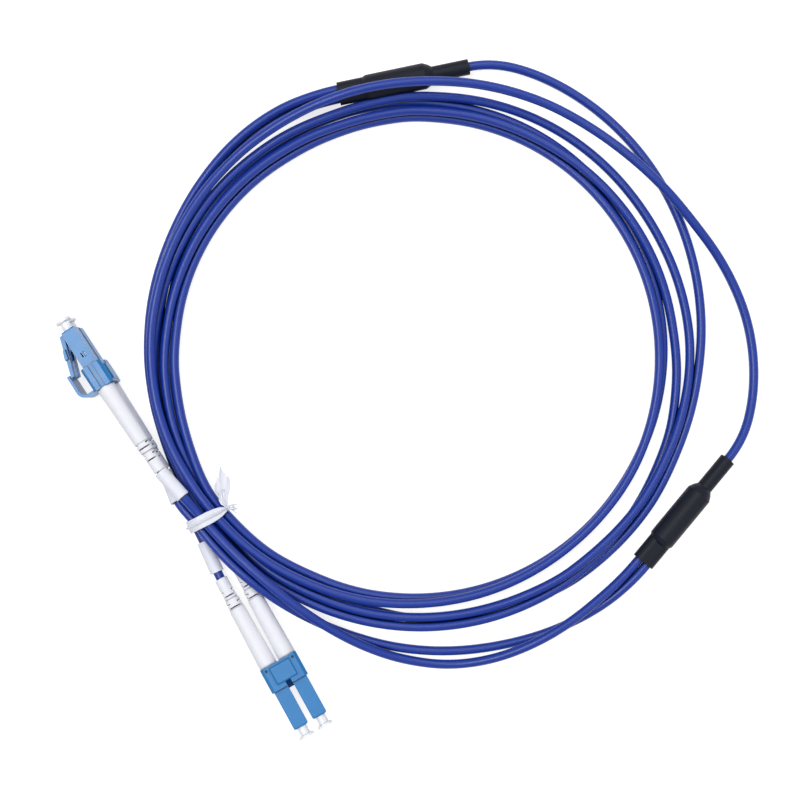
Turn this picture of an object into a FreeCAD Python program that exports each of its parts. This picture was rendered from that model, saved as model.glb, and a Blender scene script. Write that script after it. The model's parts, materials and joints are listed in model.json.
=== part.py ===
import FreeCAD, Part
import math
import os
import Sketcher
from FreeCAD import Placement, Rotation, Vector

# Armoured duplex fibre patch cord, coiled and tied, lying on a table. Millimetres, +Z up.
# Two ends, each a pair of small-form plugs in a duplex clip. Each pair's two legs join in a
# heat-shrunk breakout, and one trunk cable runs between the two breakouts in a loose coil.

SIZES = {
    # cable and coil
    "cable_d": 2.8,
    "coil_height": 5.6,
    "coil_outer_r": 81.3,
    "coil_outer_x": 2.3,
    "coil_outer_y": -4.3,
    "coil_inner_r": 71.4,
    "coil_inner_x": -1.3,
    "coil_inner_y": -1.7,
    "coil_edge": 1.6,
    "tunnel_r": 75.6,
    "coil_reach_r": 95.0,
    "tunnel_height": 4.3,
    "tunnel_sweep": 104.0,
    "notch_height": 1.4,
    "notch_sweep": 6.0,
    "waist_low": 60.0,
    "waist_r": 75.4,
    # plug, measured along the axis from a datum ahead of its front face
    "front_face": 5.0,
    "plug_pitch": 6.25,
    "plug_side": 4.52,
    "plug_length": 19.4,
    "plug_rear": "=front_face + plug_length",
    "plug_chamfer": 0.35,
    "nose_bore_d": 3.4,
    "nose_bore_depth": 6.5,
    "web_hole_d": 1.4,
    "rear_bore_d": 3.3,
    "rear_bore_depth": 11.9,
    "window_front": 13.0,
    "window_rear": 14.6,
    "window_gap": 0.22,
    "window_half": 0.6,
    # latch lever on the plug's upper face
    "latch_front": 5.5,
    "latch_foot": 2.36,
    "latch_brow": 3.3,
    "latch_heel": 6.9,
    "latch_tail": 17.6,
    "latch_tail_top": 7.0,
    "latch_tail_low": 6.0,
    "latch_width": 2.3,
    "catch_front": 9.6,
    "catch_front_top": 4.6,
    "catch_rear": 12.4,
    "catch_top": 5.6,
    "catch_low": 4.55,
    "catch_front_low": 3.85,
    "catch_width": 4.1,
    # ferrule and its collar
    "ferrule_tip": 3.9,
    "ferrule_lead": 4.15,
    "ferrule_tip_r": 0.42,
    "ferrule_r": 0.625,
    "ferrule_end": 15.4,
    "collar_front": 12.55,
    "collar_r": 1.45,
    "collar_step": 14.2,
    "stem_r": 1.0,
    "stem_end": 17.5,
    "fibre_hole_r": 0.45,
    # rear body and crimp sleeve
    "post_front": 17.9,
    "post_bore_r": 1.15,
    "post_r": 1.6,
    "post_flange_r": 2.05,
    "post_flange_end": 25.4,
    "barrel_r": 1.55,
    "barrel_end": 33.0,
    "crimp_front": 26.0,
    "crimp_end": 33.5,
    "crimp_inner_r": 1.6,
    "crimp_outer_r": 2.1,
    # boot
    "boot_front": 25.1,
    "boot_step": 33.8,
    "boot_inner_r": 2.2,
    "boot_rim": 26.2,
    "boot_r": 2.75,
    "boot_waist": 44.7,
    "boot_waist_r": 2.38,
    "boot_shoulder_r": 2.24,
    "boot_narrow": 47.9,
    "boot_end": 54.8,
    "boot_end_r": 1.95,
    "boot_bore_r": 1.46,
    "slot_width": 0.4,
    "slot_1": 45.1,
    "slot_1_end": "=slot_1 + slot_width",
    "slot_2": 46.4,
    "slot_2_end": "=slot_2 + slot_width",
    "slot_3": 48.9,
    "slot_3_end": "=slot_3 + slot_width",
    "slot_4": 50.4,
    "slot_4_end": "=slot_4 + slot_width",
    "slot_floor": 1.2,
    "slot_reach": 3.0,
    # dust cap
    "cap_end": 1.6,
    "cap_flange_r": 2.35,
    "cap_flange_back": 2.3,
    "cap_neck": 2.7,
    "cap_r": 1.5,
    "cap_floor": 3.3,
    "cap_bore_r": 0.68,
    "cap_rear": 11.0,
    # marker sleeve
    "marker_length": 10.0,
    "marker_bore_r": 1.47,
    "marker_r": 2.1,
    # duplex clip and its trigger
    "clip_front": 17.4,
    "clip_length": 7.6,
    "clip_half_width": 5.95,
    "clip_half_height": 3.3,
    "clip_corner": 0.9,
    "clip_side_y": "=clip_half_width - clip_corner",
    "clip_side_z": "=clip_half_height - clip_corner",
    "groove_half": 0.85,
    "groove_floor": 5.6,
    "clip_hole": 4.64,
    "pad_front": 18.8,
    "pad_rear": 24.3,
    "pad_half": 3.4,
    "pad_height": 0.4,
    "pad_top": "=clip_half_height + pad_height",
    "pad_edge": 0.35,
    "dot_x": 23.9,
    "dot_y": 4.4,
    "dot_d": 0.9,
    "dot_depth": 0.6,
    "clip_notch_end": 18.9,
    "clip_notch_half": 0.85,
    "trigger_rear": 24.95,
    "trigger_root_front": 24.1,
    "trigger_root": 3.4,
    "trigger_top": 8.15,
    "trigger_under": 7.25,
    "trigger_tip": 16.7,
    "trigger_tip_top": 8.0,
    "trigger_tip_low": 7.2,
    "trigger_width": 8.8,
    "trigger_bend_r": 2.6,
    "trigger_inner_bend_r": 1.7,
    # breakout sleeve
    "wide_neck_width": 7.0,
    "wide_neck_round": 2.35,
    "wide_neck_span": "=wide_neck_width / 2 - wide_neck_round",
    "wide_neck_length": 8.4,
    "sleeve_front": 7.0,
    "sleeve_lip_r": 2.2,
    "sleeve_brow": 7.7,
    "sleeve_brow_r": 3.3,
    "sleeve_full": 8.9,
    "sleeve_r": 3.9,
    "sleeve_turn": 26.4,
    "sleeve_slope": 28.0,
    "sleeve_slope_r": 3.1,
    "thin_neck_start": 29.0,
    "thin_neck_r": 2.35,
    "sleeve_end": 40.0,
    # tie
    "tie_inner_side": -7.1,
    "tie_outer_side": 7.5,
    "tie_top": 10.6,
    "tie_gauge": 0.6,
    "tie_width": 4.0,
    "tie_inside": "=tie_inner_side + tie_gauge",
    "tie_outside": "=tie_outer_side - tie_gauge",
    "tie_ceiling": "=tie_top - tie_gauge",
    "tie_round": 2.4,
    "tie_inner_round": 1.8,
    "tail_width": 3.4,
    "tail_gauge": 0.9,
    "tail_height": 7.7,
    "tail_step": 3.0,
}

COIL_CENTRE = Vector(6.86, 13.4, 0.0)
TIE_ANGLE = 217.2
TIE_RADIUS = 81.0
TIE_SLANT = 13.0
TUNNEL_MIDDLE = 184.0

doc = FreeCAD.newDocument("patch_cord")
sheet = doc.addObject("Spreadsheet::Sheet", "dims")
for row, (alias, value) in enumerate(SIZES.items(), start=1):
    sheet.set(f"A{row}", alias)
    sheet.set(f"B{row}", str(value))
    sheet.setAlias(f"B{row}", alias)
doc.recompute()

pieces = []


def size(alias):
    return float(sheet.get(alias))


def number(term):
    """The value of a sheet name, of a sheet name with a minus sign, or of "0"."""
    if term == "0":
        return 0.0
    sign = -1.0 if term.startswith("-") else 1.0
    return sign * size(term.lstrip("-"))


def linked(term):
    """The expression that ties a property to the same sheet name."""
    return "-dims." + term[1:] if term.startswith("-") else "dims." + term


def new_body(label, placement):
    body = doc.addObject("PartDesign::Body", label)
    body.Label = label
    body.Placement = placement
    pieces.append(body)
    return body


def new_sketch(body, plane, offset="0", turn=None):
    """A sketch on one of the body's own planes, lifted by a sheet value or turned in place."""
    sketch = body.newObject("Sketcher::SketchObject", "sketch")
    face = [feature for feature in body.Origin.OriginFeatures if feature.Role == plane][0]
    sketch.AttachmentSupport = [(face, "")]
    sketch.MapMode = "FlatFace"
    if turn is not None:
        sketch.AttachmentOffset = turn
    if offset != "0":
        sketch.setExpression("AttachmentOffset.Base.z", linked(offset))
    return sketch


def pin(sketch, line, x, y):
    """Ties a line's first point to sheet values, measured from the sketch's origin."""
    for kind, term, axis in (("DistanceX", x, -2), ("DistanceY", y, -1)):
        if term == "0":
            sketch.addConstraint(Sketcher.Constraint("PointOnObject", line, 1, axis))
        else:
            index = sketch.addConstraint(Sketcher.Constraint(kind, -1, 1, line, 1, number(term)))
            sketch.setExpression(f"Constraints[{index}]", linked(term))


def outline(sketch, points):
    """A closed polygon whose corners are sheet values."""
    corners = [Vector(number(x), number(y), 0) for x, y in points]
    count = len(corners)
    lines = [Part.LineSegment(corners[i], corners[(i + 1) % count]) for i in range(count)]
    first = sketch.addGeometry(lines, False)[0]
    for i in range(count):
        following = first + (i + 1) % count
        sketch.addConstraint(Sketcher.Constraint("Coincident", first + i, 2, following, 1))
    for i, (x, y) in enumerate(points):
        pin(sketch, first + i, x, y)


def rectangle(sketch, x0, x1, y0, y1):
    outline(sketch, [(x0, y0), (x1, y0), (x1, y1), (x0, y1)])


def centred_rectangle(sketch, width, height):
    """A rectangle about the sketch's origin."""
    w, h = size(width) / 2, size(height) / 2
    corners = [Vector(-w, -h, 0), Vector(w, -h, 0), Vector(w, h, 0), Vector(-w, h, 0)]
    lines = [Part.LineSegment(corners[i], corners[(i + 1) % 4]) for i in range(4)]
    first = sketch.addGeometry(lines, False)[0]
    for i in range(4):
        following = first + (i + 1) % 4
        sketch.addConstraint(Sketcher.Constraint("Coincident", first + i, 2, following, 1))
        kind = "Horizontal" if i % 2 == 0 else "Vertical"
        sketch.addConstraint(Sketcher.Constraint(kind, first + i))
    sketch.addConstraint(Sketcher.Constraint("Symmetric", first, 1, first + 2, 1, -1, 1))
    for kind, line, term in (("DistanceX", first, width), ("DistanceY", first + 1, height)):
        index = sketch.addConstraint(Sketcher.Constraint(kind, line, 1, line, 2, size(term)))
        sketch.setExpression(f"Constraints[{index}]", linked(term))


def circle(sketch, diameter, x="0", y="0"):
    place = Vector(number(x), number(y), 0)
    ring = sketch.addGeometry(Part.Circle(place, Vector(0, 0, 1), size(diameter) / 2), False)
    index = sketch.addConstraint(Sketcher.Constraint("Diameter", ring, size(diameter)))
    sketch.setExpression(f"Constraints[{index}]", linked(diameter))
    for kind, term, axis in (("DistanceX", x, -2), ("DistanceY", y, -1)):
        if term == "0":
            sketch.addConstraint(Sketcher.Constraint("PointOnObject", ring, 3, axis))
        else:
            index = sketch.addConstraint(Sketcher.Constraint(kind, -1, 1, ring, 3, number(term)))
            sketch.setExpression(f"Constraints[{index}]", linked(term))


def oval(sketch, span, radius):
    """Two half circles joined by straight sides, each centred a span away from the origin."""
    c, r = size(span), size(radius)
    turn = math.pi / 2
    right = Part.ArcOfCircle(Part.Circle(Vector(c, 0, 0), Vector(0, 0, 1), r), -turn, turn)
    left = Part.ArcOfCircle(Part.Circle(Vector(-c, 0, 0), Vector(0, 0, 1), r), turn, 3 * turn)
    top = Part.LineSegment(Vector(c, r, 0), Vector(-c, r, 0))
    base = Part.LineSegment(Vector(-c, -r, 0), Vector(c, -r, 0))
    for geometry in (right, top, left, base):
        sketch.addGeometry(geometry, False)
    for i in range(4):
        sketch.addConstraint(Sketcher.Constraint("Tangent", i, 2, (i + 1) % 4, 1))
    for arc, term in ((0, span), (2, "-" + span)):
        sketch.addConstraint(Sketcher.Constraint("PointOnObject", arc, 3, -1))
        index = sketch.addConstraint(Sketcher.Constraint("DistanceX", -1, 1, arc, 3, number(term)))
        sketch.setExpression(f"Constraints[{index}]", linked(term))
        index = sketch.addConstraint(Sketcher.Constraint("Radius", arc, r))
        sketch.setExpression(f"Constraints[{index}]", linked(radius))


def pad(body, sketch, length, symmetric=False, reverse=False):
    feature = body.newObject("PartDesign::Pad", "pad")
    feature.Profile = sketch
    feature.setExpression("Length", linked(length))
    feature.SideType = "Symmetric" if symmetric else "One side"
    feature.Reversed = reverse
    return feature


def pocket(body, sketch, length=None, reverse=False):
    """Cuts by a sheet length, or right through both ways when no length is given."""
    feature = body.newObject("PartDesign::Pocket", "pocket")
    feature.Profile = sketch
    if length:
        feature.setExpression("Length", linked(length))
        feature.Reversed = reverse
    else:
        feature.Type = "ThroughAll"
        feature.SideType = "Symmetric"
    return feature


def turned(label, placement, points):
    """A body turned about its X axis from points along the axis and out from it."""
    body = new_body(label, placement)
    sketch = new_sketch(body, "XZ_Plane")
    outline(sketch, points)
    feature = body.newObject("PartDesign::Revolution", "turn")
    feature.Profile = sketch
    feature.ReferenceAxis = (sketch, ["H_Axis"])
    feature.Angle = 360.0
    return body


def edges_where(feature, test, lengthwise):
    """The names of the edges all of whose ends pass a test, once the feature is computed."""
    doc.recompute()
    names = []
    for index, edge in enumerate(feature.Shape.Edges, start=1):
        ends = [vertex.Point for vertex in edge.Vertexes]
        if lengthwise and abs(ends[0].x - ends[-1].x) < 1e-6:
            continue
        if all(test(end) for end in ends):
            names.append(f"Edge{index}")
    return names


def soften(body, feature, kind, amount, test, lengthwise=False):
    """A fillet or chamfer of the edges that pass a test, or of those among them along X."""
    dress = body.newObject("PartDesign::" + kind, kind.lower())
    dress.Base = (feature, edges_where(feature, test, lengthwise))
    dress.setExpression("Radius" if kind == "Fillet" else "Size", linked(amount))
    return dress


def near(value, alias):
    return abs(value - number(alias)) < 1e-6


# Plug pieces, in the plug's own frame: X runs back along the cable, Z points to the latch side


def plug_housing(label, placement):
    """Square plug body with a nose bore, a web that stops the collar, and slits beside its snaps."""
    body = new_body(label, placement)
    front = new_sketch(body, "YZ_Plane", "front_face")
    centred_rectangle(front, "plug_side", "plug_side")
    block = pad(body, front, "plug_length")
    soften(body, block, "Chamfer", "plug_chamfer", lambda p: near(p.x, "front_face"))
    nose = new_sketch(body, "YZ_Plane", "front_face")
    circle(nose, "nose_bore_d")
    pocket(body, nose, "nose_bore_depth", reverse=True)
    web = new_sketch(body, "YZ_Plane", "front_face")
    circle(web, "web_hole_d")
    pocket(body, web, "plug_length", reverse=True)
    rear = new_sketch(body, "YZ_Plane", "plug_rear")
    circle(rear, "rear_bore_d")
    pocket(body, rear, "rear_bore_depth")
    window = new_sketch(body, "XZ_Plane")
    for low, high in (("window_gap", "window_half"), ("-window_half", "-window_gap")):
        rectangle(window, "window_front", "window_rear", low, high)
    pocket(body, window)


def latch(label, placement):
    """Springy lever rooted at the plug's nose, with a catch across its middle."""
    body = new_body(label, placement)
    side = new_sketch(body, "XZ_Plane")
    outline(side, [("latch_front", "latch_foot"), ("latch_heel", "latch_foot"),
                   ("latch_tail", "latch_tail_low"), ("latch_tail", "latch_tail_top"),
                   ("latch_front", "latch_brow")])
    pad(body, side, "latch_width", symmetric=True)
    catch = new_sketch(body, "XZ_Plane")
    outline(catch, [("catch_front", "catch_front_low"), ("catch_rear", "catch_low"),
                    ("catch_rear", "catch_top"), ("catch_front", "catch_front_top")])
    pad(body, catch, "catch_width", symmetric=True)


def ferrule(label, placement):
    turned(label, placement, [("ferrule_tip", "0"), ("ferrule_tip", "ferrule_tip_r"),
                              ("ferrule_lead", "ferrule_r"), ("ferrule_end", "ferrule_r"),
                              ("ferrule_end", "0")])


def ferrule_collar(label, placement):
    """Metal collar pressed on the ferrule, with the stem that guides its spring."""
    turned(label, placement, [("collar_front", "ferrule_r"), ("collar_front", "collar_r"),
                              ("collar_step", "collar_r"), ("collar_step", "stem_r"),
                              ("stem_end", "stem_r"), ("stem_end", "fibre_hole_r"),
                              ("ferrule_end", "fibre_hole_r"), ("ferrule_end", "ferrule_r")])


def rear_body(label, placement):
    """Post that closes the plug from behind and carries the crimp."""
    turned(label, placement, [("post_front", "post_bore_r"), ("post_front", "post_r"),
                              ("plug_rear", "post_r"), ("plug_rear", "post_flange_r"),
                              ("post_flange_end", "post_flange_r"), ("post_flange_end", "barrel_r"),
                              ("barrel_end", "barrel_r"), ("barrel_end", "post_bore_r")])


def crimp_sleeve(label, placement):
    turned(label, placement, [("crimp_front", "crimp_inner_r"), ("crimp_front", "crimp_outer_r"),
                              ("crimp_end", "crimp_outer_r"), ("crimp_end", "crimp_inner_r")])


def dust_cap(label, placement):
    """Blind tube over the ferrule, with a finger flange at its closed end."""
    turned(label, placement, [("cap_end", "0"), ("cap_end", "cap_flange_r"),
                              ("cap_flange_back", "cap_flange_r"), ("cap_neck", "cap_r"),
                              ("cap_rear", "cap_r"), ("cap_rear", "cap_bore_r"),
                              ("cap_floor", "cap_bore_r"), ("cap_floor", "0")])


SLOT_ROWS = 4


def boot(label, placement):
    """Tapered strain relief whose thin end is sawn from both sides, each row a quarter turn on."""
    body = turned(label, placement, [("boot_front", "boot_inner_r"), ("boot_front", "boot_r"),
                                     ("boot_rim", "boot_r"), ("boot_waist", "boot_waist_r"),
                                     ("boot_waist", "boot_shoulder_r"),
                                     ("boot_narrow", "boot_shoulder_r"),
                                     ("boot_narrow", "boot_end_r"), ("boot_end", "boot_end_r"),
                                     ("boot_end", "boot_bore_r"), ("boot_step", "boot_bore_r"),
                                     ("boot_step", "boot_inner_r")])
    for row in range(1, SLOT_ROWS + 1):
        sketch = new_sketch(body, "XZ_Plane" if row % 2 else "XY_Plane")
        for low, high in (("slot_floor", "slot_reach"), ("-slot_reach", "-slot_floor")):
            rectangle(sketch, f"slot_{row}", f"slot_{row}_end", low, high)
        pocket(body, sketch)


def marker_sleeve(label, placement):
    turned(label, placement, [("0", "marker_bore_r"), ("0", "marker_r"),
                              ("marker_length", "marker_r"), ("marker_length", "marker_bore_r")])


# Pair pieces, in the same frame, midway between the two plugs


def duplex_clip(label, placement):
    """Block that holds two plugs side by side, grooved along its sides, with a raised thumb pad."""
    body = new_body(label, placement)
    section = new_sketch(body, "YZ_Plane", "clip_front")
    quarter = [("groove_floor", "groove_half"), ("clip_half_width", "groove_half"),
               ("clip_half_width", "clip_side_z"), ("clip_side_y", "clip_half_height")]
    upper = quarter + [("-" + y, z) for y, z in reversed(quarter)]
    outline(section, upper + [(y, "-" + z) for y, z in reversed(upper)])
    pad(body, section, "clip_length")
    notch = new_sketch(body, "XY_Plane")
    rectangle(notch, "front_face", "clip_notch_end", "-clip_notch_half", "clip_notch_half")
    pocket(body, notch)
    thumb = new_sketch(body, "XY_Plane", "-clip_half_height")
    rectangle(thumb, "pad_front", "pad_rear", "-pad_half", "pad_half")
    raised = pad(body, thumb, "pad_height", reverse=True)
    soften(body, raised, "Chamfer", "pad_edge", lambda p: near(p.z, "-pad_top"))
    for side in ("dot_y", "-dot_y"):
        dot = new_sketch(body, "XY_Plane", "-clip_half_height")
        circle(dot, "dot_d", "dot_x", side)
        pocket(body, dot, "dot_depth", reverse=True)
    for side in (0.5, -0.5):
        shift = Placement(Vector(side * size("plug_pitch"), 0, 0), Rotation())
        hole = new_sketch(body, "YZ_Plane", "clip_front", shift)
        hole.setExpression("AttachmentOffset.Base.x", f"{side} * dims.plug_pitch")
        centred_rectangle(hole, "clip_hole", "clip_hole")
        pocket(body, hole, "plug_length", reverse=True)


def clip_trigger(label, placement):
    """Bent strip from the clip's rear edge, arching forward over the two latch tails."""
    body = new_body(label, placement)
    side = new_sketch(body, "XZ_Plane")
    outline(side, [("trigger_root_front", "trigger_root"), ("trigger_rear", "trigger_root"),
                   ("trigger_rear", "trigger_top"), ("trigger_tip", "trigger_tip_top"),
                   ("trigger_tip", "trigger_tip_low"), ("trigger_root_front", "trigger_under")])
    strip = pad(body, side, "trigger_width", symmetric=True)
    bend = soften(body, strip, "Fillet", "trigger_bend_r",
                  lambda p: near(p.x, "trigger_rear") and near(p.z, "trigger_top"))
    soften(body, bend, "Fillet", "trigger_inner_bend_r",
           lambda p: near(p.x, "trigger_root_front") and near(p.z, "trigger_under"))


def breakout(label, placement):
    """Heat-shrunk sleeve: an oval neck for two legs, a full body, a thin neck for the trunk."""
    body = turned(label, placement, [("sleeve_front", "0"), ("sleeve_front", "sleeve_lip_r"),
                                     ("sleeve_brow", "sleeve_brow_r"), ("sleeve_full", "sleeve_r"),
                                     ("sleeve_turn", "sleeve_r"), ("sleeve_slope", "sleeve_slope_r"),
                                     ("thin_neck_start", "thin_neck_r"),
                                     ("sleeve_end", "thin_neck_r"), ("sleeve_end", "0")])
    neck = new_sketch(body, "YZ_Plane")
    oval(neck, "wide_neck_span", "wide_neck_round")
    pad(body, neck, "wide_neck_length")


# Tie and coil

TAIL_SECTIONS = 5
TAIL_TURN = 40.0
TAIL_LEAN = 0.5


def tie(label, placement):
    """Flat strip closed round the bundle, its two ends twisted together into a tail."""
    body = new_body(label, placement)
    ring = new_sketch(body, "YZ_Plane")
    rectangle(ring, "tie_inner_side", "tie_outer_side", "0", "tie_top")
    rectangle(ring, "tie_inside", "tie_outside", "tie_gauge", "tie_ceiling")
    band = pad(body, ring, "tie_width", symmetric=True)
    outer = soften(body, band, "Fillet", "tie_round", lambda p: (
        (near(p.y, "tie_inner_side") or near(p.y, "tie_outer_side"))
        and (near(p.z, "tie_top") or abs(p.z) < 1e-6)), lengthwise=True)
    soften(body, outer, "Fillet", "tie_inner_round", lambda p: (
        (near(p.y, "tie_inside") or near(p.y, "tie_outside"))
        and (near(p.z, "tie_gauge") or near(p.z, "tie_ceiling"))), lengthwise=True)
    root = size("tie_inside") - size("tail_gauge") / 2
    sections = []
    for step in range(TAIL_SECTIONS):
        place = Vector(root - step * TAIL_LEAN, size("tail_height"), step * size("tail_step"))
        turn = Placement(place, Rotation(Vector(0, 0, 1), step * TAIL_TURN))
        section = new_sketch(body, "YZ_Plane", turn=turn)
        section.setExpression("AttachmentOffset.Base.z", f"{step} * dims.tail_step")
        centred_rectangle(section, "tail_gauge", "tail_width")
        sections.append(section)
    tail = body.newObject("PartDesign::AdditiveLoft", "tail")
    tail.Profile = sections[0]
    tail.Sections = sections[1:]


def coil(label, placement):
    """Outer shape of the loose coil, hollowed where two legs pass under it and drawn in at the tie."""
    body = new_body(label, placement)
    plan = new_sketch(body, "XY_Plane")
    for edge in ("outer", "inner"):
        centre = Vector(size(f"coil_{edge}_x"), size(f"coil_{edge}_y"), 0)
        radius = size(f"coil_{edge}_r")
        ring = plan.addGeometry(Part.Circle(centre, Vector(0, 0, 1), radius), False)
        driven = ((Sketcher.Constraint("Radius", ring, radius), f"dims.coil_{edge}_r"),
                  (Sketcher.Constraint("DistanceX", -1, 1, ring, 3, centre.x), f"dims.coil_{edge}_x"),
                  (Sketcher.Constraint("DistanceY", -1, 1, ring, 3, centre.y), f"dims.coil_{edge}_y"))
        for constraint, expression in driven:
            index = plan.addConstraint(constraint)
            plan.setExpression(f"Constraints[{index}]", expression)
    ring = pad(body, plan, "coil_height")
    soften(body, ring, "Chamfer", "coil_edge", lambda p: near(p.z, "coil_height"))
    for middle, low, high, height, sweep in (
        (TUNNEL_MIDDLE, "tunnel_r", "coil_reach_r", "tunnel_height", "tunnel_sweep"),
        (TIE_ANGLE, "waist_low", "coil_reach_r", "notch_height", "notch_sweep"),
        (TIE_ANGLE, "waist_low", "waist_r", "coil_height", "notch_sweep"),
    ):
        turn = Placement(Vector(), Rotation(Vector(0, 1, 0), middle))
        section = new_sketch(body, "XZ_Plane", turn=turn)
        rectangle(section, low, high, "0", height)
        cut = body.newObject("PartDesign::Groove", "cut")
        cut.Profile = section
        cut.ReferenceAxis = (section, ["V_Axis"])
        cut.Midplane = True
        cut.setExpression("Angle", linked(sweep))


# Cords: each route is a list of points, made into straight runs joined by tangent arcs

ARC_SHARE = 0.45


def around(angle, radius, height):
    """A point at a compass angle and radius from the coil's centre."""
    a = math.radians(angle)
    return COIL_CENTRE + Vector(radius * math.cos(a), radius * math.sin(a), height)


def cord(label, route):
    """A round tube along a route. Prints its tightest arc and checks its volume."""
    edges = []
    tightest = None
    start = route[0]
    for before, corner, after in zip(route, route[1:], route[2:]):
        arriving = corner - before
        leaving = after - corner
        reach = ARC_SHARE * min(arriving.Length, leaving.Length)
        turn = arriving.getAngle(leaving)
        radius = reach / math.tan(turn / 2)
        tightest = min(radius, tightest or radius)
        arriving.normalize()
        leaving.normalize()
        first = corner - arriving * reach
        last = corner + leaving * reach
        inward = (leaving - arriving).normalize()
        middle = corner + inward * (radius / math.cos(turn / 2) - radius)
        edges.append(Part.LineSegment(start, first).toShape())
        edges.append(Part.Arc(first, middle, last).toShape())
        start = last
    edges.append(Part.LineSegment(start, route[-1]).toShape())
    path = Part.Wire(edges)
    radius = size("cable_d") / 2
    ring = Part.Wire(Part.makeCircle(radius, route[0], route[1] - route[0]))
    tube = path.makePipeShell([ring], True, False)
    expected = math.pi * radius**2 * path.Length
    if abs(tube.Volume / expected - 1) > 0.01:
        raise ValueError(f"{label}: volume {tube.Volume:.1f}, expected {expected:.1f}")
    print(f"{label}: length {path.Length:.1f}, tightest radius {tightest:.1f}")
    feature = doc.addObject("Part::Feature", label)
    feature.Label = label
    feature.Shape = tube
    pieces.append(feature)


# Where things lie

BREAKOUT_A = Placement(Vector(-17.64, 91.0, 3.95), Rotation(Vector(0, 0, 1), 11.8))
BREAKOUT_B = Placement(Vector(73.96, -49.8, 3.95), Rotation(Vector(0, 0, 1), 50.4))
LEG_SPREAD = 1.5


def pair_placement(front, heading, drop, latch_side):
    """Plug frame with its front face at a point, its cable leaving at a heading and dropping."""
    h, d = math.radians(heading), math.radians(drop)
    back = Vector(math.cos(h) * math.cos(d), math.sin(h) * math.cos(d), -math.sin(d))
    side = (latch_side - back * latch_side.dot(back)).normalize()
    across = side.cross(back)
    return Placement(front - back * size("front_face"), Rotation(back, across, side, "XYZ"))


PAIR_A = pair_placement(Vector(-25.45, -95.86, 11.6), 120.5, 9.5, Vector(-0.136, -0.080, -1))
PAIR_B = pair_placement(Vector(-97.44, 19.7, 6.25), -57.0, 0.0, Vector(-0.8387, -0.5446, 0))

PLUGS = {
    "a1": (PAIR_A, -0.5),
    "a2": (PAIR_A, 0.5),
    "b1": (PAIR_B, -0.5),
    "b2": (PAIR_B, 0.5),
}


def plug_frame(name):
    pair, side = PLUGS[name]
    return pair * Placement(Vector(0, side * size("plug_pitch"), 0), Rotation())


def on_axis(name, distance):
    """A point on a plug's own axis, at a distance behind its datum."""
    return plug_frame(name).multVec(Vector(distance, 0, 0))


def neck_mouth(sleeve, side, ahead):
    """A point out from a breakout's oval neck, beside its middle."""
    return sleeve.multVec(Vector(-ahead, side * LEG_SPREAD, 0))


def thin_mouth(sleeve, ahead):
    return sleeve.multVec(Vector(size("sleeve_end") + ahead, 0, 0))


# Marker sleeves: the end nearest the plug, and the end further along the leg
MARKERS = {
    "a1": (Vector(-54.27, -53.0, 3.2), Vector(-58.42, -43.97, 2.25)),
    "a2": (Vector(-47.87, -51.72, 2.8), Vector(-53.75, -43.63, 2.15)),
    "b1": (Vector(-69.9, -22.77, 3.25), Vector(-65.9, -31.62, 5.5)),
    "b2": (Vector(-70.16, -22.32, 9.4), Vector(-63.53, -29.81, 9.6)),
}


def marker_placement(name):
    near_end, far_end = MARKERS[name]
    return Placement(near_end, Rotation(Vector(1, 0, 0), far_end - near_end))


def leg_start(name):
    """The leg's run through its boot and marker sleeve, from the crimp outwards."""
    near_end, far_end = MARKERS[name]
    along = (far_end - near_end).normalize()
    inside = size("barrel_end") + 1.0
    step = (size("boot_end") - inside) / 3
    return [on_axis(name, inside), on_axis(name, inside + step) + Vector(0, 0, 0.02),
            on_axis(name, inside + 2 * step), on_axis(name, inside + 3 * step),
            near_end + along * 4.5, near_end + along * (size("marker_length") + 0.5)]


TRUNK_HEAD = [
    thin_mouth(BREAKOUT_A, 0), thin_mouth(BREAKOUT_A, 7.6),
    around(65, 91.4, 2.4), around(53, 91.2, 1.5), around(41, 90.2, 1.5), around(29, 88.8, 1.5),
    around(17, 87.3, 1.55), around(5, 85.8, 1.65), around(-7, 84.0, 2.0), around(-17, 82.0, 2.4),
]
TRUNK_TAIL = [
    around(209, 79.4, 4.9), around(199, 80.6, 5.1), around(188, 81.3, 5.5), around(175, 81.3, 5.4),
    around(161, 81.2, 5.3), around(147, 81.0, 5.3), around(134, 80.8, 6.0), around(122, 80.5, 8.2),
    around(111, 80.1, 11.0), around(100, 80.2, 12.0), around(88, 80.7, 11.9), around(76, 82.4, 9.6),
    around(64, 83.8, 7.2), around(53, 84.5, 6.4), around(43, 85.9, 6.6), around(34, 88.0, 6.4),
    around(26, 90.6, 4.8), around(17, 95.2, 2.4), around(8, 99.2, 1.5), around(0, 101.2, 1.45),
    around(-8, 101.9, 2.2), thin_mouth(BREAKOUT_B, 7.0), thin_mouth(BREAKOUT_B, 0),
]
LEG_A1 = leg_start("a1") + [
    around(214.5, 85.0, 2.1), around(207, 81.9, 1.5), around(199, 81.9, 1.45), around(190, 82.2, 1.45),
    around(180, 82.4, 1.45), around(168, 82.6, 1.45), around(156, 83.0, 1.5), around(144, 83.6, 1.5),
    around(132, 84.2, 1.6), around(121, 84.8, 2.4), neck_mouth(BREAKOUT_A, 1, 6.0),
    neck_mouth(BREAKOUT_A, 1, 0),
]
LEG_A2 = leg_start("a2") + [
    around(217, 82.2, 2.1), around(209, 79.2, 1.6), around(200, 78.4, 1.45), around(190, 78.6, 1.45),
    around(180, 78.9, 1.45), around(168, 79.2, 1.45), around(156, 79.7, 1.5), around(144, 80.4, 1.5),
    around(132, 81.0, 1.6), around(121, 81.6, 2.4), neck_mouth(BREAKOUT_A, -1, 6.0),
    neck_mouth(BREAKOUT_A, -1, 0),
]
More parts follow.
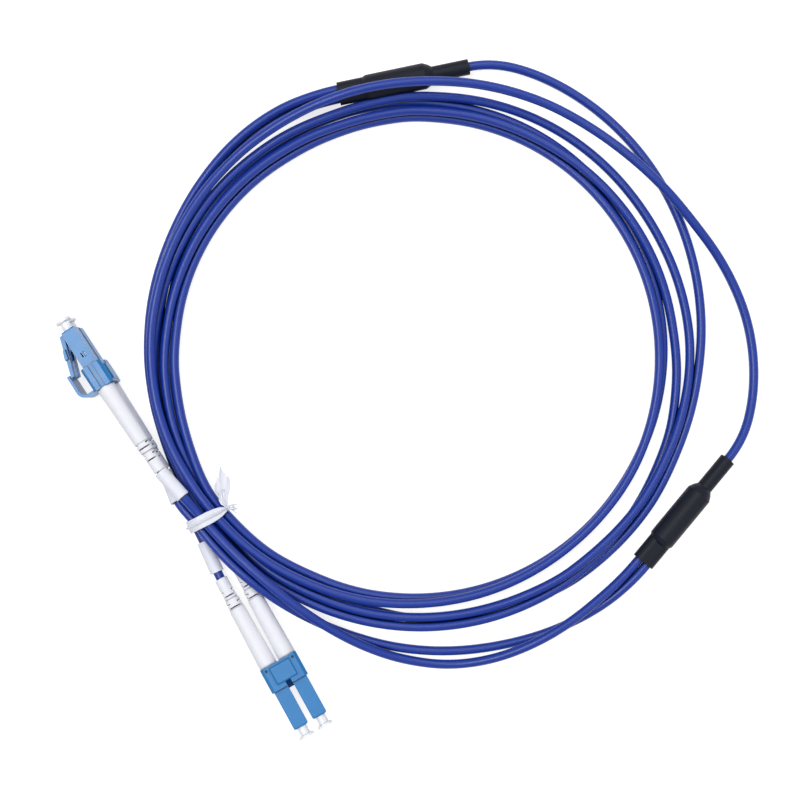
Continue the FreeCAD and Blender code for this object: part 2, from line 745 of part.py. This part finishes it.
LEG_B1 = leg_start("b1") + [
    around(217, 84.8, 6.4), around(226, 85.25, 7.4), around(235, 85.6, 8.1), around(245, 86.9, 4.5),
    around(255, 88.9, 1.8), around(265, 90.1, 1.45), around(275, 91.2, 1.45), around(285, 92.2, 1.45),
    around(295, 93.5, 1.5), around(305, 94.4, 2.3), neck_mouth(BREAKOUT_B, -1, 6.0),
    neck_mouth(BREAKOUT_B, -1, 0),
]
LEG_B2 = leg_start("b2") + [
    around(217, 82.2, 8.0), around(226, 82.4, 7.6), around(236, 82.75, 7.45), around(245, 84.4, 7.6),
    around(253, 87.2, 6.9), around(260, 91.0, 4.8), around(267, 93.6, 2.0), around(275, 94.9, 1.5),
    around(283, 94.9, 3.4), around(291, 93.9, 6.0), around(299, 92.6, 6.0), around(308, 91.4, 4.4),
    neck_mouth(BREAKOUT_B, 1, 5.0), neck_mouth(BREAKOUT_B, 1, 0),
]

# Build

for plug in PLUGS:
    frame = plug_frame(plug)
    plug_housing(f"plug_housing_{plug}", frame)
    latch(f"latch_{plug}", frame)
    ferrule(f"ferrule_{plug}", frame)
    ferrule_collar(f"ferrule_collar_{plug}", frame)
    rear_body(f"rear_body_{plug}", frame)
    crimp_sleeve(f"crimp_sleeve_{plug}", frame)
    dust_cap(f"dust_cap_{plug}", frame)
    boot(f"boot_{plug}", frame)
    marker_sleeve(f"marker_{plug}", marker_placement(plug))
for name, frame in (("a", PAIR_A), ("b", PAIR_B)):
    duplex_clip(f"duplex_clip_{name}", frame)
    clip_trigger(f"clip_trigger_{name}", frame)
breakout("breakout_a", BREAKOUT_A)
breakout("breakout_b", BREAKOUT_B)
coil("coil", Placement(COIL_CENTRE, Rotation()))
tie("tie", Placement(around(TIE_ANGLE, TIE_RADIUS, 0), Rotation(Vector(0, 0, 1), TIE_ANGLE - 90 - TIE_SLANT)))
cord("trunk_head", TRUNK_HEAD)
cord("trunk_tail", TRUNK_TAIL)
cord("leg_a1", LEG_A1)
cord("leg_a2", LEG_A2)
cord("leg_b1", LEG_B1)
cord("leg_b2", LEG_B2)
doc.recompute()

# Every object has to be sound before anything is written

for item in doc.Objects:
    if "Invalid" in item.State or "Error" in item.State:
        raise ValueError(f"{item.Label} failed: {item.State}")
for piece in pieces:
    if piece.Shape.isNull() or not piece.Shape.isValid() or len(piece.Shape.Solids) != 1:
        raise ValueError(f"{piece.Label} has no single sound solid")
os.makedirs("parts", exist_ok=True)
for piece in pieces:
    piece.Shape.exportStep(f"parts/{piece.Label}.step")
print(f"{len(pieces)} pieces written")
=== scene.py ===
import json
import math

import bpy
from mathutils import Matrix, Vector


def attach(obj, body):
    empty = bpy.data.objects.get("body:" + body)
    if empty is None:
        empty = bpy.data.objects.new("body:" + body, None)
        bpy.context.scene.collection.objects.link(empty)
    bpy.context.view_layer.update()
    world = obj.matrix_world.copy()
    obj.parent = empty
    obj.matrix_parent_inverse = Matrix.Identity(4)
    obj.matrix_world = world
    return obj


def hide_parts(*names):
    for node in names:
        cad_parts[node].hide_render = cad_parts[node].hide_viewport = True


# Looks of the coiled fibre patch cord. Metres in the frame's axes, with lengths below in millimetres.

MM = 0.001
CABLE_D = 2.8
COIL_CENTRE = (6.86, 13.4)
PLUGS = ("a1", "a2", "b1", "b2")

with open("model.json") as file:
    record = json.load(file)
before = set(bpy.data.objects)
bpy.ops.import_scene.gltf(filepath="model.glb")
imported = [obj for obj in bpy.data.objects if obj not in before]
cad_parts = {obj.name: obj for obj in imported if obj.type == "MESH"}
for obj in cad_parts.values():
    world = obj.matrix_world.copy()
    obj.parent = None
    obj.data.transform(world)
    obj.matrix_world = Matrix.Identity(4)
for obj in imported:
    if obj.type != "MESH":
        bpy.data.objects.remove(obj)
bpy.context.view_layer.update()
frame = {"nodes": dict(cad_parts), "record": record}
nodes = frame["nodes"]


# Materials

# How far the painted shade in narrow gaps and inner corners reaches
PAINTED_SHADE_REACH = 0.7 * MM


def material(name, colour, roughness, speckle=0.08, grain=3000.0, depth=0.1, shine=0.5, soft=0.0,
             painted_shade=False):
    """A plastic whose colour, gloss and surface vary a little, from two sizes of noise.

    With painted shade, its colour is darkened in narrow gaps and inner corners by the shade an ambient
    occlusion node finds there.
    """
    made = bpy.data.materials.new(name)
    made.use_nodes = True
    tree = made.node_tree
    shader = tree.nodes["Principled BSDF"]
    place = tree.nodes.new("ShaderNodeTexCoord")
    coarse = tree.nodes.new("ShaderNodeTexNoise")
    coarse.inputs["Scale"].default_value = grain / 12
    coarse.inputs["Detail"].default_value = 4.0
    fine = tree.nodes.new("ShaderNodeTexNoise")
    fine.inputs["Scale"].default_value = grain
    fine.inputs["Detail"].default_value = 2.0
    tint = tree.nodes.new("ShaderNodeMix")
    tint.data_type = "RGBA"
    darker = [channel * (1 - speckle) for channel in colour]
    lighter = [min(1.0, channel * (1 + speckle)) for channel in colour]
    tint.inputs["A"].default_value = (*darker, 1)
    tint.inputs["B"].default_value = (*lighter, 1)
    gloss = tree.nodes.new("ShaderNodeMapRange")
    gloss.inputs["To Min"].default_value = roughness * 0.85
    gloss.inputs["To Max"].default_value = roughness * 1.15
    bump = tree.nodes.new("ShaderNodeBump")
    bump.inputs["Strength"].default_value = depth
    bump.inputs["Distance"].default_value = 0.05 * MM
    for noise in (coarse, fine):
        tree.links.new(place.outputs["Object"], noise.inputs["Vector"])
    tree.links.new(coarse.outputs["Fac"], tint.inputs["Factor"])
    tree.links.new(tint.outputs["Result"], shader.inputs["Base Color"])
    tree.links.new(coarse.outputs["Fac"], gloss.inputs["Value"])
    tree.links.new(gloss.outputs["Result"], shader.inputs["Roughness"])
    tree.links.new(fine.outputs["Fac"], bump.inputs["Height"])
    tree.links.new(bump.outputs["Normal"], shader.inputs["Normal"])
    # Painted shade: an ambient occlusion node darkens the base colour in narrow gaps and inner corners
    if painted_shade:
        shade_in_hollows = tree.nodes.new("ShaderNodeAmbientOcclusion")
        shade_in_hollows.inputs["Distance"].default_value = PAINTED_SHADE_REACH
        tree.links.new(tint.outputs["Result"], shade_in_hollows.inputs["Color"])
        darken_by_shade = tree.nodes.new("ShaderNodeMix")
        darken_by_shade.data_type = "RGBA"
        darken_by_shade.blend_type = "MULTIPLY"
        darken_by_shade.inputs["Factor"].default_value = 1.0
        tree.links.new(shade_in_hollows.outputs["Color"], darken_by_shade.inputs["A"])
        tree.links.new(shade_in_hollows.outputs["AO"], darken_by_shade.inputs["B"])
        tree.links.new(darken_by_shade.outputs["Result"], shader.inputs["Base Color"])
    shader.inputs["Specular IOR Level"].default_value = shine
    shader.inputs["Subsurface Weight"].default_value = soft
    shader.inputs["Subsurface Radius"].default_value = (1.0 * MM, 1.0 * MM, 1.0 * MM)
    return made


def metal(name, colour, roughness):
    made = material(name, colour, roughness, speckle=0.05, depth=0.05)
    made.node_tree.nodes["Principled BSDF"].inputs["Metallic"].default_value = 1.0
    return made


# The cable, the blue plastic and the boots get painted shade in their narrow gaps and inner corners
LOOKS = {
    "cable_jacket": material("cable_jacket", (0.005, 0.036, 0.315), 0.36, speckle=0.06, depth=0.06,
                             painted_shade=True),
    "blue_plastic": material("blue_plastic", (0.014, 0.190, 0.490), 0.33, speckle=0.05, depth=0.08,
                             painted_shade=True),
    "clear_white_plastic": material("clear_white_plastic", (0.86, 0.88, 0.92), 0.35, speckle=0.02, soft=0.4),
    "white_boot": material("white_boot", (0.81, 0.82, 0.88), 0.50, speckle=0.02, soft=0.15, painted_shade=True),
    "white_sleeve": material("white_sleeve", (0.78, 0.80, 0.89), 0.55, speckle=0.02, soft=0.15),
    "white_tie": material("white_tie", (0.77, 0.79, 0.87), 0.45, speckle=0.03, soft=0.15),
    "black_sleeve": material("black_sleeve", (0.009, 0.011, 0.021), 0.5, speckle=0.2, depth=0.25, shine=0.22),
    "ferrule_ceramic": material("ferrule_ceramic", (0.88, 0.88, 0.86), 0.15, speckle=0.01),
    "plated_metal": metal("plated_metal", (0.62, 0.61, 0.58), 0.3),
}


# Rigid pieces: the frame's own solids, with their slot's finish and eased edges

EDGE_ROUND = {"plug_housing": 0.14, "latch": 0.1, "duplex_clip": 0.18, "clip_trigger": 0.2,
              "boot": 0.06, "marker": 0.12, "dust_cap": 0.12, "breakout": 0.5}
FLAT_WITHIN = math.radians(1.0)
CORNER_ABOVE = math.radians(35.0)

for part in frame["record"]["subparts"]:
    node = nodes[part["node"]]
    node.data.materials.clear()
    node.data.materials.append(LOOKS[part["material_slot"]])
    kind = part["node"].rsplit("_", 1)[0]
    if kind in EDGE_ROUND:
        flatten = node.modifiers.new("flatten", "DECIMATE")
        flatten.decimate_type = "DISSOLVE"
        flatten.angle_limit = FLAT_WITHIN
        ease = node.modifiers.new("ease", "BEVEL")
        ease.width = EDGE_ROUND[kind] * MM
        ease.segments = 2
        ease.limit_method = "ANGLE"
        ease.angle_limit = CORNER_ABOVE


# Cords: the routes of the part's source, and the coil's turns between the trunk's two free ends


def around(angle, radius, height):
    """A point at a compass angle and radius from the coil's centre."""
    a = math.radians(angle)
    return Vector((COIL_CENTRE[0] + radius * math.cos(a), COIL_CENTRE[1] + radius * math.sin(a), height))


def along(start, heading, distance):
    h = math.radians(heading)
    return Vector((start[0] + distance * math.cos(h), start[1] + distance * math.sin(h), start[2]))


BREAKOUT_A = (-17.64, 91.0, 3.95)
HEADING_A = 11.8
BREAKOUT_B = (73.96, -49.8, 3.95)
HEADING_B = 50.4
BREAKOUT_LENGTH = 40.0
LEG_SPREAD = 1.42


def thin_mouth(start, heading, ahead):
    return along(start, heading, BREAKOUT_LENGTH + ahead)


def neck_mouth(start, heading, side, ahead):
    return along(along(start, heading, -ahead), heading + 90, side * LEG_SPREAD)


def heading_down(heading, drop):
    """A direction at a compass heading, dropping by an angle."""
    h = math.radians(heading)
    d = math.radians(drop)
    return Vector((math.cos(h) * math.cos(d), math.sin(h) * math.cos(d), -math.sin(d)))


FRONT_FACE = 5.0
PLUG_PITCH = 6.25
PAIRS = {
    "a": (Vector((-25.45, -95.86, 11.6)), heading_down(120.5, 9.5), Vector((-0.136, -0.080, -1))),
    "b": (Vector((-97.44, 19.7, 6.25)), heading_down(-57.0, 0.0), Vector((-0.8387, -0.5446, 0))),
}


def plug_axis(name, distance):
    """A point on a plug's axis, at a distance behind the datum ahead of its front face."""
    front, back, latch_side = PAIRS[name[0]]
    across = (latch_side - back * latch_side.dot(back)).normalized().cross(back)
    side = 1 if name[1] == "2" else -1
    return front + back * (distance - FRONT_FACE) + across * (side * PLUG_PITCH / 2)


MARKERS = {
    "a1": (Vector((-54.27, -53.0, 3.2)), Vector((-58.42, -43.97, 2.25))),
    "a2": (Vector((-47.87, -51.72, 2.8)), Vector((-53.75, -43.63, 2.15))),
    "b1": (Vector((-69.9, -22.77, 3.25)), Vector((-65.9, -31.62, 5.5))),
    "b2": (Vector((-70.16, -22.32, 9.4)), Vector((-63.53, -29.81, 9.6))),
}

BOOT_STATIONS = (34.0, 40.9, 47.9, 54.8)
MARKER_STATIONS = (4.5, 10.5)


def leg_start(name):
    """The leg's run through its boot and marker sleeve, from the crimp outwards."""
    near_end, far_end = MARKERS[name]
    run = (far_end - near_end).normalized()
    in_boot = [plug_axis(name, station) for station in BOOT_STATIONS]
    return in_boot + [near_end + run * station for station in MARKER_STATIONS]


LEGS = {
    "a1": leg_start("a1") + [
        around(214.5, 85.0, 2.1), around(207, 82.3, 1.5), around(199, 81.9, 1.45), around(190, 82.2, 1.45),
        around(180, 82.6, 1.45), around(168, 83.1, 1.45), around(156, 83.3, 1.6), around(144, 83.9, 2.8),
        around(132, 84.7, 3.7), around(121, 84.7, 4.2), neck_mouth(BREAKOUT_A, HEADING_A, 1, 6.0),
        neck_mouth(BREAKOUT_A, HEADING_A, 1, 0)],
    "a2": leg_start("a2") + [
        around(217, 82.2, 2.1), around(209, 79.5, 1.6), around(200, 79.0, 1.45), around(190, 79.3, 1.45),
        around(180, 79.7, 1.45), around(168, 80.2, 1.45), around(156, 80.5, 1.5), around(144, 81.7, 1.45),
        around(132, 82.7, 1.5), around(121, 82.5, 2.2), neck_mouth(BREAKOUT_A, HEADING_A, -1, 6.0),
        neck_mouth(BREAKOUT_A, HEADING_A, -1, 0)],
    "b1": leg_start("b1") + [
        around(217, 84.5, 6.4), around(226, 85.0, 7.2), around(235, 85.4, 7.8), around(245, 86.8, 4.6),
        around(255, 88.3, 1.8), around(265, 89.9, 1.45), around(275, 91.2, 1.45), around(285, 92.3, 1.45),
        around(295, 93.7, 1.5), around(305, 94.6, 2.3), neck_mouth(BREAKOUT_B, HEADING_B, -1, 6.0),
        neck_mouth(BREAKOUT_B, HEADING_B, -1, 0)],
    "b2": leg_start("b2") + [
        around(217, 81.9, 8.0), around(226, 81.9, 8.3), around(236, 82.6, 9.2), around(245, 84.8, 8.6),
        around(253, 87.5, 7.2), around(260, 90.4, 4.9), around(267, 93.2, 2.2), around(275, 95.3, 1.5),
        around(283, 95.4, 3.2), around(291, 94.1, 5.9), around(299, 92.9, 6.0), around(308, 91.7, 4.4),
        neck_mouth(BREAKOUT_B, HEADING_B, 1, 5.0), neck_mouth(BREAKOUT_B, HEADING_B, 1, 0)],
}

TRUNK_HEAD = [
    thin_mouth(BREAKOUT_A, HEADING_A, 0), thin_mouth(BREAKOUT_A, HEADING_A, 7.6),
    around(65, 91.4, 2.4), around(53, 91.3, 1.5), around(41, 90.3, 1.5), around(29, 88.9, 1.5),
    around(17, 87.4, 1.55), around(5, 86.0, 1.65), around(-7, 84.5, 1.7), around(-17, 83.9, 1.6),
]
TRUNK_TAIL = [
    around(209, 79.2, 6.8), around(199, 80.3, 6.8), around(188, 80.9, 6.8), around(175, 81.2, 6.7),
    around(161, 81.2, 6.5), around(147, 81.1, 6.1), around(134, 80.7, 6.4), around(122, 80.0, 8.2),
    around(111, 79.5, 11.0), around(100, 79.6, 12.0), around(88, 80.0, 11.9), around(76, 81.6, 9.6),
    around(64, 83.3, 7.2), around(53, 84.4, 6.4), around(43, 85.9, 6.6), around(34, 88.1, 6.4),
    around(26, 90.7, 4.8), around(17, 95.3, 2.4), around(8, 99.1, 1.5), around(0, 101.2, 1.45),
    around(-8, 101.9, 2.2), thin_mouth(BREAKOUT_B, HEADING_B, 7.0), thin_mouth(BREAKOUT_B, HEADING_B, 0),
]

# Each turn of the coil, clockwise from the right: compass angle, radius and height at a few stations
TURNS = [
    [(-30, 83.6, 1.5), (-50, 83.2, 1.45), (-60, 82.7, 1.45), (-75, 81.6, 1.45), (-90, 81.0, 1.45),
     (-100, 79.3, 1.45), (-120, 78.3, 1.45), (-130, 78.0, 1.45), (-143, 77.3, 2.0), (-150, 77.4, 3.2),
     (-161, 77.5, 4.2), (-170, 77.2, 4.2), (-180, 76.6, 4.2), (-195, 75.9, 4.2), (-210, 75.15, 4.1),
     (-225, 74.1, 3.8), (-240, 73.1, 3.6), (-252, 72.4, 3.55), (-270, 72.5, 3.55), (-300, 73.2, 3.6),
     (-330, 75.1, 3.5), (-345, 76.2, 2.4), (-360, 77.6, 1.45)],
    [(-20, 79.4, 1.45), (-35, 80.7, 1.45), (-48, 81.6, 2.4), (-60, 82.3, 3.8), (-75, 82.8, 3.7),
     (-90, 82.9, 3.7), (-105, 82.7, 3.7), (-120, 82.7, 3.6), (-131, 82.3, 4.2), (-143, 81.2, 4.7),
     (-150, 80.9, 4.2), (-161, 80.8, 3.9), (-170, 80.7, 3.9), (-180, 80.2, 3.95), (-190, 79.6, 4.0),
     (-200, 79.0, 4.0), (-210, 78.5, 3.8), (-220, 78.1, 3.2), (-230, 77.3, 3.2), (-240, 76.5, 4.0),
     (-252, 75.9, 4.25), (-270, 76.7, 4.0), (-285, 78.0, 2.4), (-300, 79.0, 1.45), (-330, 80.0, 1.45),
     (-345, 81.1, 1.45), (-360, 81.95, 1.45)],
    [(-15, 81.2, 3.0), (-30, 80.6, 4.3), (-40, 80.1, 4.8), (-50, 79.7, 5.1), (-60, 79.75, 5.2),
     (-75, 79.8, 4.0), (-90, 80.0, 3.8), (-120, 80.05, 4.1), (-130, 79.8, 3.0), (-143, 79.4, 1.5),
     (-152, 77.4, 1.45), (-161, 76.6, 1.45), (-180, 76.6, 1.45), (-195, 77.0, 1.45), (-210, 76.9, 1.45),
     (-225, 76.7, 1.45), (-240, 76.2, 1.45), (-252, 75.8, 1.45), (-270, 75.5, 1.45), (-300, 74.8, 1.45),
     (-330, 73.8, 1.45), (-360, 73.7, 1.45)],
    [(-30, 73.3, 1.45), (-60, 73.7, 1.45), (-90, 74.4, 1.45), (-120, 75.5, 1.45), (-130, 75.9, 3.0),
     (-143, 76.3, 4.4), (-150, 75.8, 4.6), (-161, 74.6, 4.4), (-170, 74.0, 4.2), (-180, 73.6, 4.2),
     (-195, 73.5, 3.2), (-210, 73.1, 1.6), (-225, 72.15, 1.45), (-240, 71.15, 1.45), (-252, 70.95, 1.45),
     (-270, 71.0, 1.45), (-300, 71.4, 1.45), (-330, 71.5, 3.0), (-360, 72.0, 4.0)],
    [(-30, 73.2, 4.25), (-45, 73.4, 4.25), (-60, 74.0, 4.2), (-75, 74.9, 4.1), (-90, 75.7, 4.0),
     (-105, 76.7, 4.7), (-120, 77.5, 5.6), (-143, 78.7, 6.9)],
]
TURN_STEP = 12.0


def coil_points():
    """The turns as closely spaced points, set out a little so that the curve keeps the stations' radius."""
    stations = [(angle - 360 * turn, radius, height)
                for turn, row in enumerate(TURNS) for angle, radius, height in row]
    points = []
    for (a0, r0, z0), (a1, r1, z1) in zip(stations, stations[1:] + stations[-1:]):
        steps = max(1, round((a0 - a1) / TURN_STEP))
        widen = 1 / math.cos(math.radians((a0 - a1) / steps / 2))
        for i in range(steps):
            t = i / steps
            points.append(around(a0 + (a1 - a0) * t, (r0 + (r1 - r0) * t) * widen, z0 + (z1 - z0) * t))
    return points


def cable(name, route, replaced):
    """A round cable along a smooth curve that is pulled towards each point of its route.

    The thickness is in the points, as a curve's box is measured from their radius.
    """
    curve = bpy.data.curves.new(name, "CURVE")
    curve.dimensions = "3D"
    curve.bevel_depth = 1.0
    curve.bevel_resolution = 5
    curve.use_fill_caps = True
    curve.resolution_u = 10
    spline = curve.splines.new("NURBS")
    spline.points.add(len(route) - 1)
    for point, place in zip(spline.points, route):
        point.co = (*(place * MM), 1)
        point.radius = CABLE_D / 2 * MM
    spline.order_u = 3
    spline.use_endpoint_u = True
    made = bpy.data.objects.new(name, curve)
    bpy.context.scene.collection.objects.link(made)
    curve.materials.append(LOOKS["cable_jacket"])
    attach(made, "cord_set")
    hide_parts(*replaced)
    return made


trunk_route = TRUNK_HEAD + coil_points() + TRUNK_TAIL
trunk = cable("trunk_cable", trunk_route, ("trunk_head", "coil", "trunk_tail"))
for plug in PLUGS:
    leg = cable(f"leg_cable_{plug}", LEGS[plug], (f"leg_{plug}",))


# Tie: a strip with a wire ridge, closed round the bundle and twisted into a long and a short tail

TIE_ANGLE = 217.2
TIE_RADIUS = 81.0
TIE_SLANT = 13.0
TIE_HALF = 1.88
KNOT = Vector((-0.9, -7.2, 6.8))
LONG_TAIL = Vector((11.2, -10.6, 8.4))
TWIST_TAIL = Vector((4.6, -8.4, 8.3))
SHORT_TAIL = Vector((-2.2, -9.6, 6.3))


def tie_place(place):
    """A point of the tie's own frame: X along the bundle, Y out from the coil, Z up."""
    base = around(TIE_ANGLE, TIE_RADIUS, 0)
    turn = math.radians(TIE_ANGLE - 90 - TIE_SLANT)
    x = place.x * math.cos(turn) - place.y * math.sin(turn)
    y = place.x * math.sin(turn) + place.y * math.cos(turn)
    return base + Vector((x, y, place.z))


def ribbon(name, stations, profile, closed):
    """A strip through stations of centre, half width and outward normal, with a profile across it."""
    rows = []
    for centre, across, outward in stations:
        outer = [centre + across * u + outward * lift for u, lift in profile]
        inner = [centre + across * u for u, lift in reversed(profile)]
        rows.append(outer + inner)
    count = len(rows[0])
    pairs = list(zip(range(len(rows)), range(1, len(rows))))
    faces = []
    if closed:
        pairs.append((len(rows) - 1, 0))
    else:
        last = (len(rows) - 1) * count
        for k in range(len(profile) - 1):
            faces.append((k, k + 1, count - 2 - k, count - 1 - k))
            faces.append((last + k + 1, last + k, last + count - 1 - k, last + count - 2 - k))
    for i, j in pairs:
        for k in range(count):
            following = (k + 1) % count
            faces.append((i * count + following, i * count + k, j * count + k, j * count + following))
    mesh = bpy.data.meshes.new(name)
    mesh.from_pydata([tie_place(place) * MM for row in rows for place in row], [], faces)
    mesh.validate()
    for face in mesh.polygons:
        face.use_smooth = True
    mesh.set_sharp_from_angle(angle=math.radians(40))
    made = bpy.data.objects.new(name, mesh)
    bpy.context.scene.collection.objects.link(made)
    mesh.materials.append(LOOKS["white_tie"])
    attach(made, "cord_set")
    return made


def smooth_loop(points, steps):
    """Points along a smooth closed curve through the given ones."""
    made = []
    count = len(points)
    for i in range(count):
        p0, p1, p2, p3 = (points[(i + k) % count] for k in (-1, 0, 1, 2))
        for step in range(steps):
            t = step / steps
            made.append(0.5 * (2 * p1 + (p2 - p0) * t + (2 * p0 - 5 * p1 + 4 * p2 - p3) * t**2
                               + (3 * p1 - p0 - 3 * p2 + p3) * t**3))
    return made


# The loop's place across the bundle and height, clockwise from the knot, with the half width there
LOOP = [(-7.0, 6.8, 0.6), (-4.8, 7.9, 1.5), (-1.8, 9.2, TIE_HALF), (1.1, 9.75, TIE_HALF),
        (3.5, 8.8, TIE_HALF), (5.2, 7.2, TIE_HALF), (6.1, 4.8, TIE_HALF), (6.3, 2.4, TIE_HALF),
        (5.6, 0.5, TIE_HALF), (2.0, 0.1, TIE_HALF), (-2.0, 0.1, TIE_HALF), (-5.2, 0.5, TIE_HALF),
        (-6.5, 2.6, 1.7), (-6.8, 5.0, 1.2)]
RIDGE = [(-1, 0), (-0.94, 0.2), (-0.26, 0.2), (-0.16, 0.75), (0, 0.95), (0.16, 0.75), (0.26, 0.2),
         (0.94, 0.2), (1, 0)]
LOOP_STEPS = 6
LOOP_LEAN = 0.05
FLAT_SHARE = 0.1
FULL_RIDGE_ABOVE = 2.0
loop = smooth_loop([Vector(point) for point in LOOP], LOOP_STEPS)
loop_stations = []
for before, here, after in zip([loop[-1]] + loop, loop, loop[1:] + loop[:1]):
    run = (after - before).to_2d().normalized()
    pressed_flat = min(1.0, max(FLAT_SHARE, here.y / FULL_RIDGE_ABOVE))
    centre = Vector((KNOT.x - LOOP_LEAN * (here.x - KNOT.y), here.x, here.y))
    loop_stations.append((centre, Vector((here.z, 0, 0)), Vector((0, -run.y, run.x)) * pressed_flat))
tie = ribbon("tie_loop", loop_stations, RIDGE, True)

PLEATS = [(-1, 0), (-0.9, 0.2), (-0.66, 0.5), (-0.42, 0.2), (-0.2, 0.2), (0, 0.55), (0.2, 0.2), (0.42, 0.2),
          (0.66, 0.5), (0.9, 0.2), (1, 0)]
LONG_WIDTHS = [1.1, 1.1, 1.2, 1.5, 1.9, 2.3, 2.4, 2.4, 2.3, 2.2]
LONG_END = (-4.2, -5.0, -2.4, -3.6, -0.9, 0.2, -1.2, -2.0, -2.8, -3.6, -4.0)
TWIST_WIDTHS = [1.0, 1.3, 1.4, 1.3, 1.2, 0.9, 0.5]
TWIST_END = (0.3, -0.4, 0.2, -0.5, 0.1, 0.4, -0.2, 0.3, -0.5, 0.2, -0.3)
SHORT_WIDTHS = [0.6, 0.8, 1.1, 1.5]
SHORT_END = (0.6, 0.2, -0.7, -1.0, -0.3, 0.4, -0.5, -1.0, -0.6, 0.2, 0.5)
UNTWISTED_BY = 0.6
UNTWIST_EASE = 1.3
TAIL_SAG = 0.5
PLEAT_DEPTH = 0.8


def tail(name, start, end, widths, twist, torn):
    """A pleated strip that untwists along its first half, with a torn end given across its width."""
    axis = (end - start).normalized()
    level = axis.cross(Vector((0, 0, 1))).normalized()
    upright = level.cross(axis)
    stations = []
    for i, half in enumerate(widths):
        t = i / (len(widths) - 1)
        turn = math.radians(twist) * max(0.0, 1 - t / UNTWISTED_BY) ** UNTWIST_EASE
        across = level * math.cos(turn) + upright * math.sin(turn)
        outward = upright * math.cos(turn) - level * math.sin(turn)
        sag = math.sin(t * math.pi) * TAIL_SAG
        centre = start.lerp(end, t) + (upright - level) * sag
        stations.append((centre, across * half, outward * PLEAT_DEPTH))
    made = ribbon(name, stations, PLEATS, False)
    push = (tie_place(end) - tie_place(start)).normalized() * MM
    around_strip = torn + torn[::-1]
    for i, vertex in enumerate(made.data.vertices):
        row, place = divmod(i, len(around_strip))
        vertex.co += push * around_strip[place] * (row / (len(widths) - 1)) ** 2
    return made


tail("tie_tail_long", KNOT, LONG_TAIL, LONG_WIDTHS, 50, LONG_END)
tail("tie_tail_twist", KNOT, TWIST_TAIL, TWIST_WIDTHS, -150, TWIST_END)
tail("tie_tail_short", KNOT, SHORT_TAIL, SHORT_WIDTHS, 40, SHORT_END)
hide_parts("tie")


# Stage: a white table, soft light from all round, and the camera straight above

VIEW_CENTRE = (0.86, -1.1)
VIEW_HEIGHT = 400.0
VIEW_WIDTH = 243.2

camera = bpy.data.cameras.new("camera")
camera.sensor_width = 36.0
camera.lens = camera.sensor_width * VIEW_HEIGHT / VIEW_WIDTH
camera.clip_start = 0.01
camera_object = bpy.data.objects.new("camera", camera)
camera_object.location = Vector((*VIEW_CENTRE, VIEW_HEIGHT)) * MM
bpy.context.scene.collection.objects.link(camera_object)
bpy.context.scene.camera = camera_object

# The floor's half side and height, in metres
FLOOR_HALF = 3.0
FLOOR_HEIGHT = -0.02 * MM

TABLE_GLOW = 0.74
floor_mesh = bpy.data.meshes.new("floor")
corners = [(x * FLOOR_HALF, y * FLOOR_HALF, FLOOR_HEIGHT) for x, y in ((-1, -1), (1, -1), (1, 1), (-1, 1))]
floor_mesh.from_pydata(corners, [], [(0, 1, 2, 3)])
floor = bpy.data.objects.new("floor", floor_mesh)
bpy.context.scene.collection.objects.link(floor)
table = material("table", (0.55, 0.55, 0.55), 0.8, speckle=0.01, grain=200.0, depth=0.0)
seen = table.node_tree.nodes.new("ShaderNodeLightPath")
mirrored = table.node_tree.nodes.new("ShaderNodeMath")
mirrored.operation = "MAXIMUM"
either = table.node_tree.nodes.new("ShaderNodeMath")
either.operation = "MAXIMUM"
lift = table.node_tree.nodes.new("ShaderNodeMath")
lift.operation = "MULTIPLY"
lift.inputs[1].default_value = TABLE_GLOW
table_shader = table.node_tree.nodes["Principled BSDF"]
table_shader.inputs["Emission Color"].default_value = (1, 1, 1, 1)
table.node_tree.links.new(seen.outputs["Is Glossy Ray"], mirrored.inputs[0])
table.node_tree.links.new(seen.outputs["Is Transmission Ray"], mirrored.inputs[1])
table.node_tree.links.new(seen.outputs["Is Camera Ray"], either.inputs[0])
table.node_tree.links.new(mirrored.outputs["Value"], either.inputs[1])
table.node_tree.links.new(either.outputs["Value"], lift.inputs[0])
table.node_tree.links.new(lift.outputs["Value"], table_shader.inputs["Emission Strength"])
floor_mesh.materials.append(table)


def lamp(name, place, size, power):
    """A square lamp that faces the frame's origin."""
    light = bpy.data.lights.new(name, "AREA")
    light.size = size
    light.energy = power
    made = bpy.data.objects.new(name, light)
    made.location = place
    made.rotation_euler = (-Vector(place)).to_track_quat("-Z", "Y").to_euler()
    bpy.context.scene.collection.objects.link(made)


lamp("key_light", (-0.3, 0.05, 0.9), 0.35, 3.7)
lamp("back_light", (0.2, 0.6, 0.9), 0.7, 3.0)
lamp("fill_light", (0.7, -0.3, 0.8), 0.9, 1.6)

SKY_LIGHT = 0.45
world = bpy.data.worlds.new("world")
world.use_nodes = True
backdrop = world.node_tree.nodes["Background"]
backdrop.inputs["Color"].default_value = (1, 1, 1, 1)
sky_seen = world.node_tree.nodes.new("ShaderNodeLightPath")
brightness = world.node_tree.nodes.new("ShaderNodeMapRange")
brightness.inputs["To Min"].default_value = SKY_LIGHT
brightness.inputs["To Max"].default_value = 1.0
world.node_tree.links.new(sky_seen.outputs["Is Camera Ray"], brightness.inputs["Value"])
world.node_tree.links.new(brightness.outputs["Result"], backdrop.inputs["Strength"])
bpy.context.scene.world = world
bpy.context.scene.view_settings.view_transform = "Standard"
